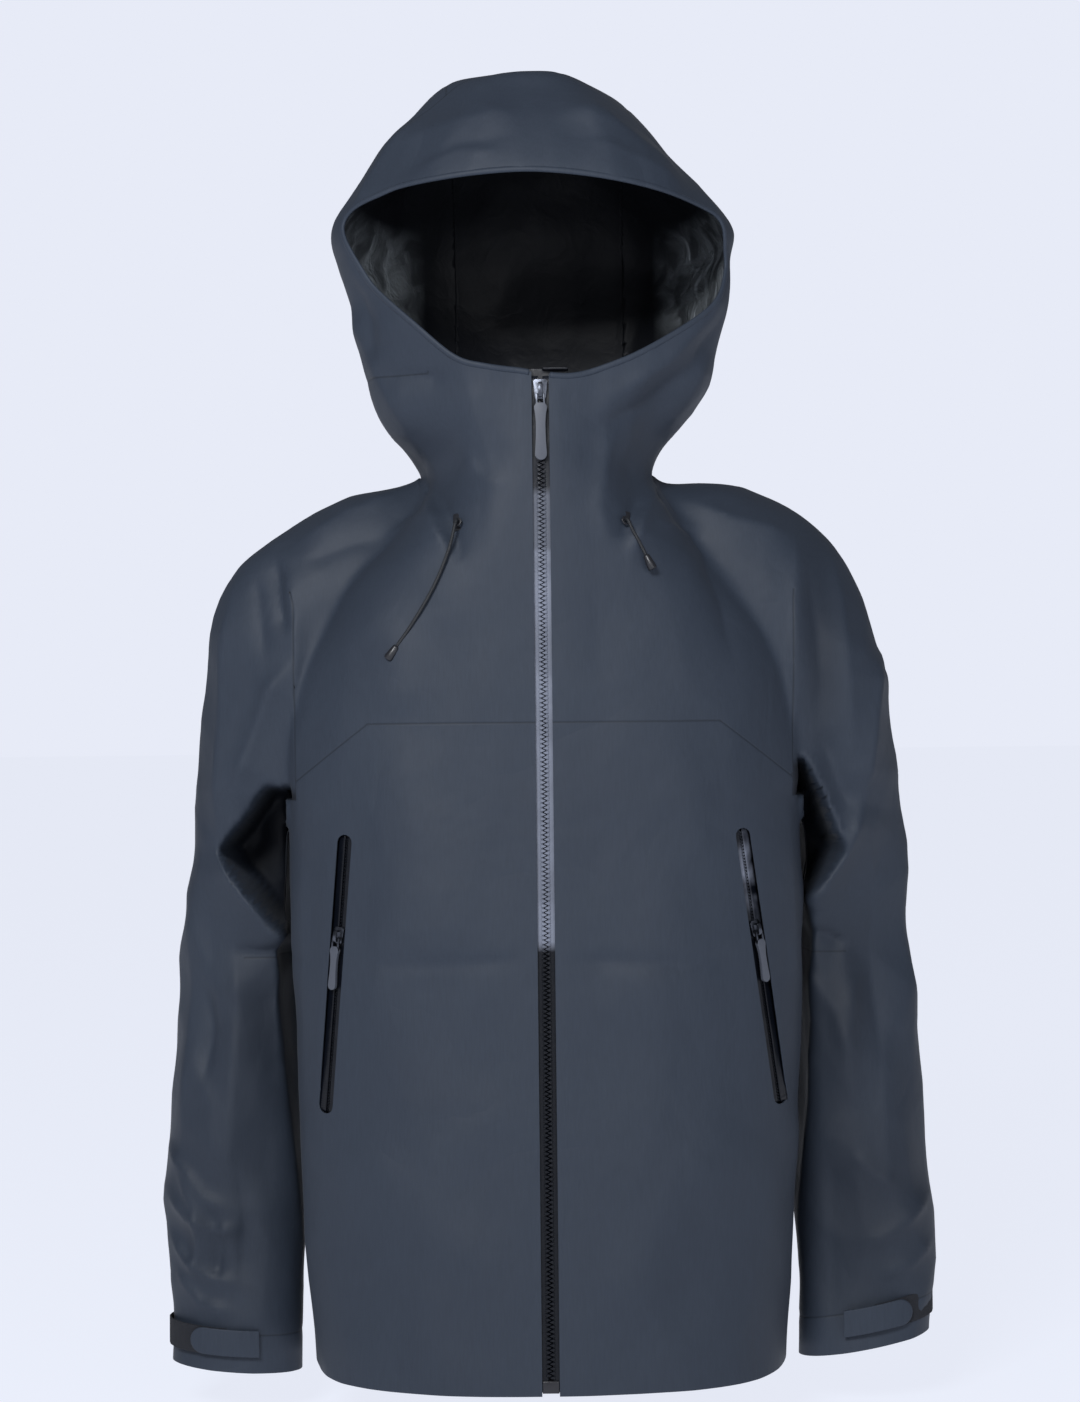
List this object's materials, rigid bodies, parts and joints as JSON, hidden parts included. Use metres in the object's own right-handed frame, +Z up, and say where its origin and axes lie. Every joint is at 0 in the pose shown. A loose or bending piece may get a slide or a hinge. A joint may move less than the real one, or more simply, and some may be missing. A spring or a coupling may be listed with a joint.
{
  "type": "hardshell jacket",
  "caption": "Hooded waterproof shell jacket with a full front zip, slanted hand pockets, adjustable cuffs, hood and hem, standing in the shape of its wearer.",
  "frame": {"origin": "middle of the bearing face under the top strap of the hanger loop at the back of the neck", "axes": "+Z up along the wearer's back, -Y out of the jacket's front, +X towards the wearer's left"},
  "size_m": [0.6064, 0.2997, 1.007],
  "materials": {
    "shell_fabric": "fine plain-weave laminated face fabric, matt with a faint sheen",
    "lining": "smooth dark backer and seam tape",
    "zip_tape": "film coated glossy tape",
    "zip_teeth": "moulded dark teeth",
    "metal": "satin die-cast metal",
    "puller": "matt moulded grey",
    "cord": "braided elastic cord",
    "plastic": "fine matt moulding",
    "loop_patch": "knitted loop pile"
  },
  "bodies": {
    "garment": {"back_panel": "shell_fabric", "back_yoke": "shell_fabric", "chin_guard": "lining", "collar_left": "shell_fabric", "collar_right": "shell_fabric", "cord_end_left": "plastic", "cord_end_right": "plastic", "cord_eyelet_left": "plastic", "cord_eyelet_right": "plastic", "cuff_left": "shell_fabric", "cuff_loop_patch_left": "loop_patch", "cuff_loop_patch_right": "loop_patch", "cuff_right": "shell_fabric", "drawcord_left": "cord", "drawcord_right": "cord", "front_panel_left": "shell_fabric", "front_panel_right": "shell_fabric", "front_yoke_left": "shell_fabric", "front_yoke_right": "shell_fabric", "front_zip_tape_left": "zip_tape", "front_zip_tape_right": "zip_tape", "front_zip_teeth_left": "zip_teeth", "front_zip_teeth_right": "zip_teeth", "hanger_loop": "cord", "hem_drawcord": "cord", "hem_lock_left": "plastic", "hem_lock_right": "plastic", "hood_brim": "shell_fabric", "hood_crown": "shell_fabric", "hood_lock_left": "plastic", "hood_lock_right": "plastic", "hood_side_left": "shell_fabric", "hood_side_right": "shell_fabric", "pocket_bag_left": "lining", "pocket_bag_right": "lining", "pocket_tape_inner_left": "zip_tape", "pocket_tape_inner_right": "zip_tape", "pocket_tape_outer_left": "zip_tape", "pocket_tape_outer_right": "zip_tape", "sleeve_lower_left": "shell_fabric", "sleeve_lower_right": "shell_fabric", "sleeve_upper_left": "shell_fabric", "sleeve_upper_right": "shell_fabric", "storm_flap": "lining", "zip_box": "zip_teeth"},
    "front_slider": {"front_slider": "metal"},
    "front_pull": {"front_pull_link": "metal", "front_puller": "puller"},
    "pocket_slider_right": {"pocket_slider_right": "metal"},
    "pocket_pull_right": {"pocket_pull_link_right": "metal", "pocket_puller_right": "puller"},
    "pocket_slider_left": {"pocket_slider_left": "metal"},
    "pocket_pull_left": {"pocket_pull_link_left": "metal", "pocket_puller_left": "puller"},
    "cuff_tab_right": {"cuff_tab_right": "shell_fabric"},
    "cuff_tab_left": {"cuff_tab_left": "shell_fabric"},
    "hood_lock_button_right": {"hood_lock_button_right": "plastic"},
    "hood_lock_button_left": {"hood_lock_button_left": "plastic"},
    "hem_lock_button_right": {"hem_lock_button_right": "plastic"},
    "hem_lock_button_left": {"hem_lock_button_left": "plastic"}
  },
  "joints": [
    {"name": "front_zip_slide", "type": "slide", "parent": "garment", "child": "front_slider", "axis": [0, -0.0421, -0.9991], "range_m": [0, 0.729]},
    {"name": "front_pull_swing", "type": "hinge", "parent": "front_slider", "child": "front_pull", "pos_m": [0, -0.20011, 0.02905], "axis": [-1, 0, 0], "range_deg": [0, 135]},
    {"name": "pocket_zip_slide_right", "type": "slide", "parent": "garment", "child": "pocket_slider_right", "axis": [-0.0846, 0.0478, -0.9953], "range_m": [-0.062, 0.12]},
    {"name": "pocket_pull_swing_right", "type": "hinge", "parent": "pocket_slider_right", "child": "pocket_pull_right", "pos_m": [-0.15871, -0.18231, -0.37901], "axis": [-0.8022, 0.5892, 0.0965], "range_deg": [0, 135]},
    {"name": "pocket_zip_slide_left", "type": "slide", "parent": "garment", "child": "pocket_slider_left", "axis": [0.1379, 0.1042, -0.9849], "range_m": [-0.062, 0.12]},
    {"name": "pocket_pull_swing_left", "type": "hinge", "parent": "pocket_slider_left", "child": "pocket_pull_left", "pos_m": [0.16082, -0.17909, -0.3773], "axis": [-0.7712, -0.6127, -0.1728], "range_deg": [0, 135]},
    {"name": "cuff_tab_peel_right", "type": "hinge", "parent": "garment", "child": "cuff_tab_right", "pos_m": [-0.22841, -0.10405, -0.695], "axis": [0, 0, 1], "range_deg": [0, 80]},
    {"name": "cuff_tab_peel_left", "type": "hinge", "parent": "garment", "child": "cuff_tab_left", "pos_m": [0.23041, -0.10405, -0.695], "axis": [0, 0, -1], "range_deg": [0, 80]},
    {"name": "hood_lock_press_right", "type": "slide", "parent": "garment", "child": "hood_lock_button_right", "axis": [0, -0.3042, -0.9526], "range_m": [0, 0.0025], "stiffness_N_per_m": 300, "springref_m": -0.002},
    {"name": "hood_lock_press_left", "type": "slide", "parent": "garment", "child": "hood_lock_button_left", "axis": [0, -0.3042, -0.9526], "range_m": [0, 0.0025], "stiffness_N_per_m": 300, "springref_m": -0.002},
    {"name": "hem_lock_press_right", "type": "slide", "parent": "garment", "child": "hem_lock_button_right", "axis": [0, 0, -1], "range_m": [0, 0.0025], "stiffness_N_per_m": 300, "springref_m": -0.002},
    {"name": "hem_lock_press_left", "type": "slide", "parent": "garment", "child": "hem_lock_button_left", "axis": [0, 0, -1], "range_m": [0, 0.0025], "stiffness_N_per_m": 300, "springref_m": -0.002}
  ]
}
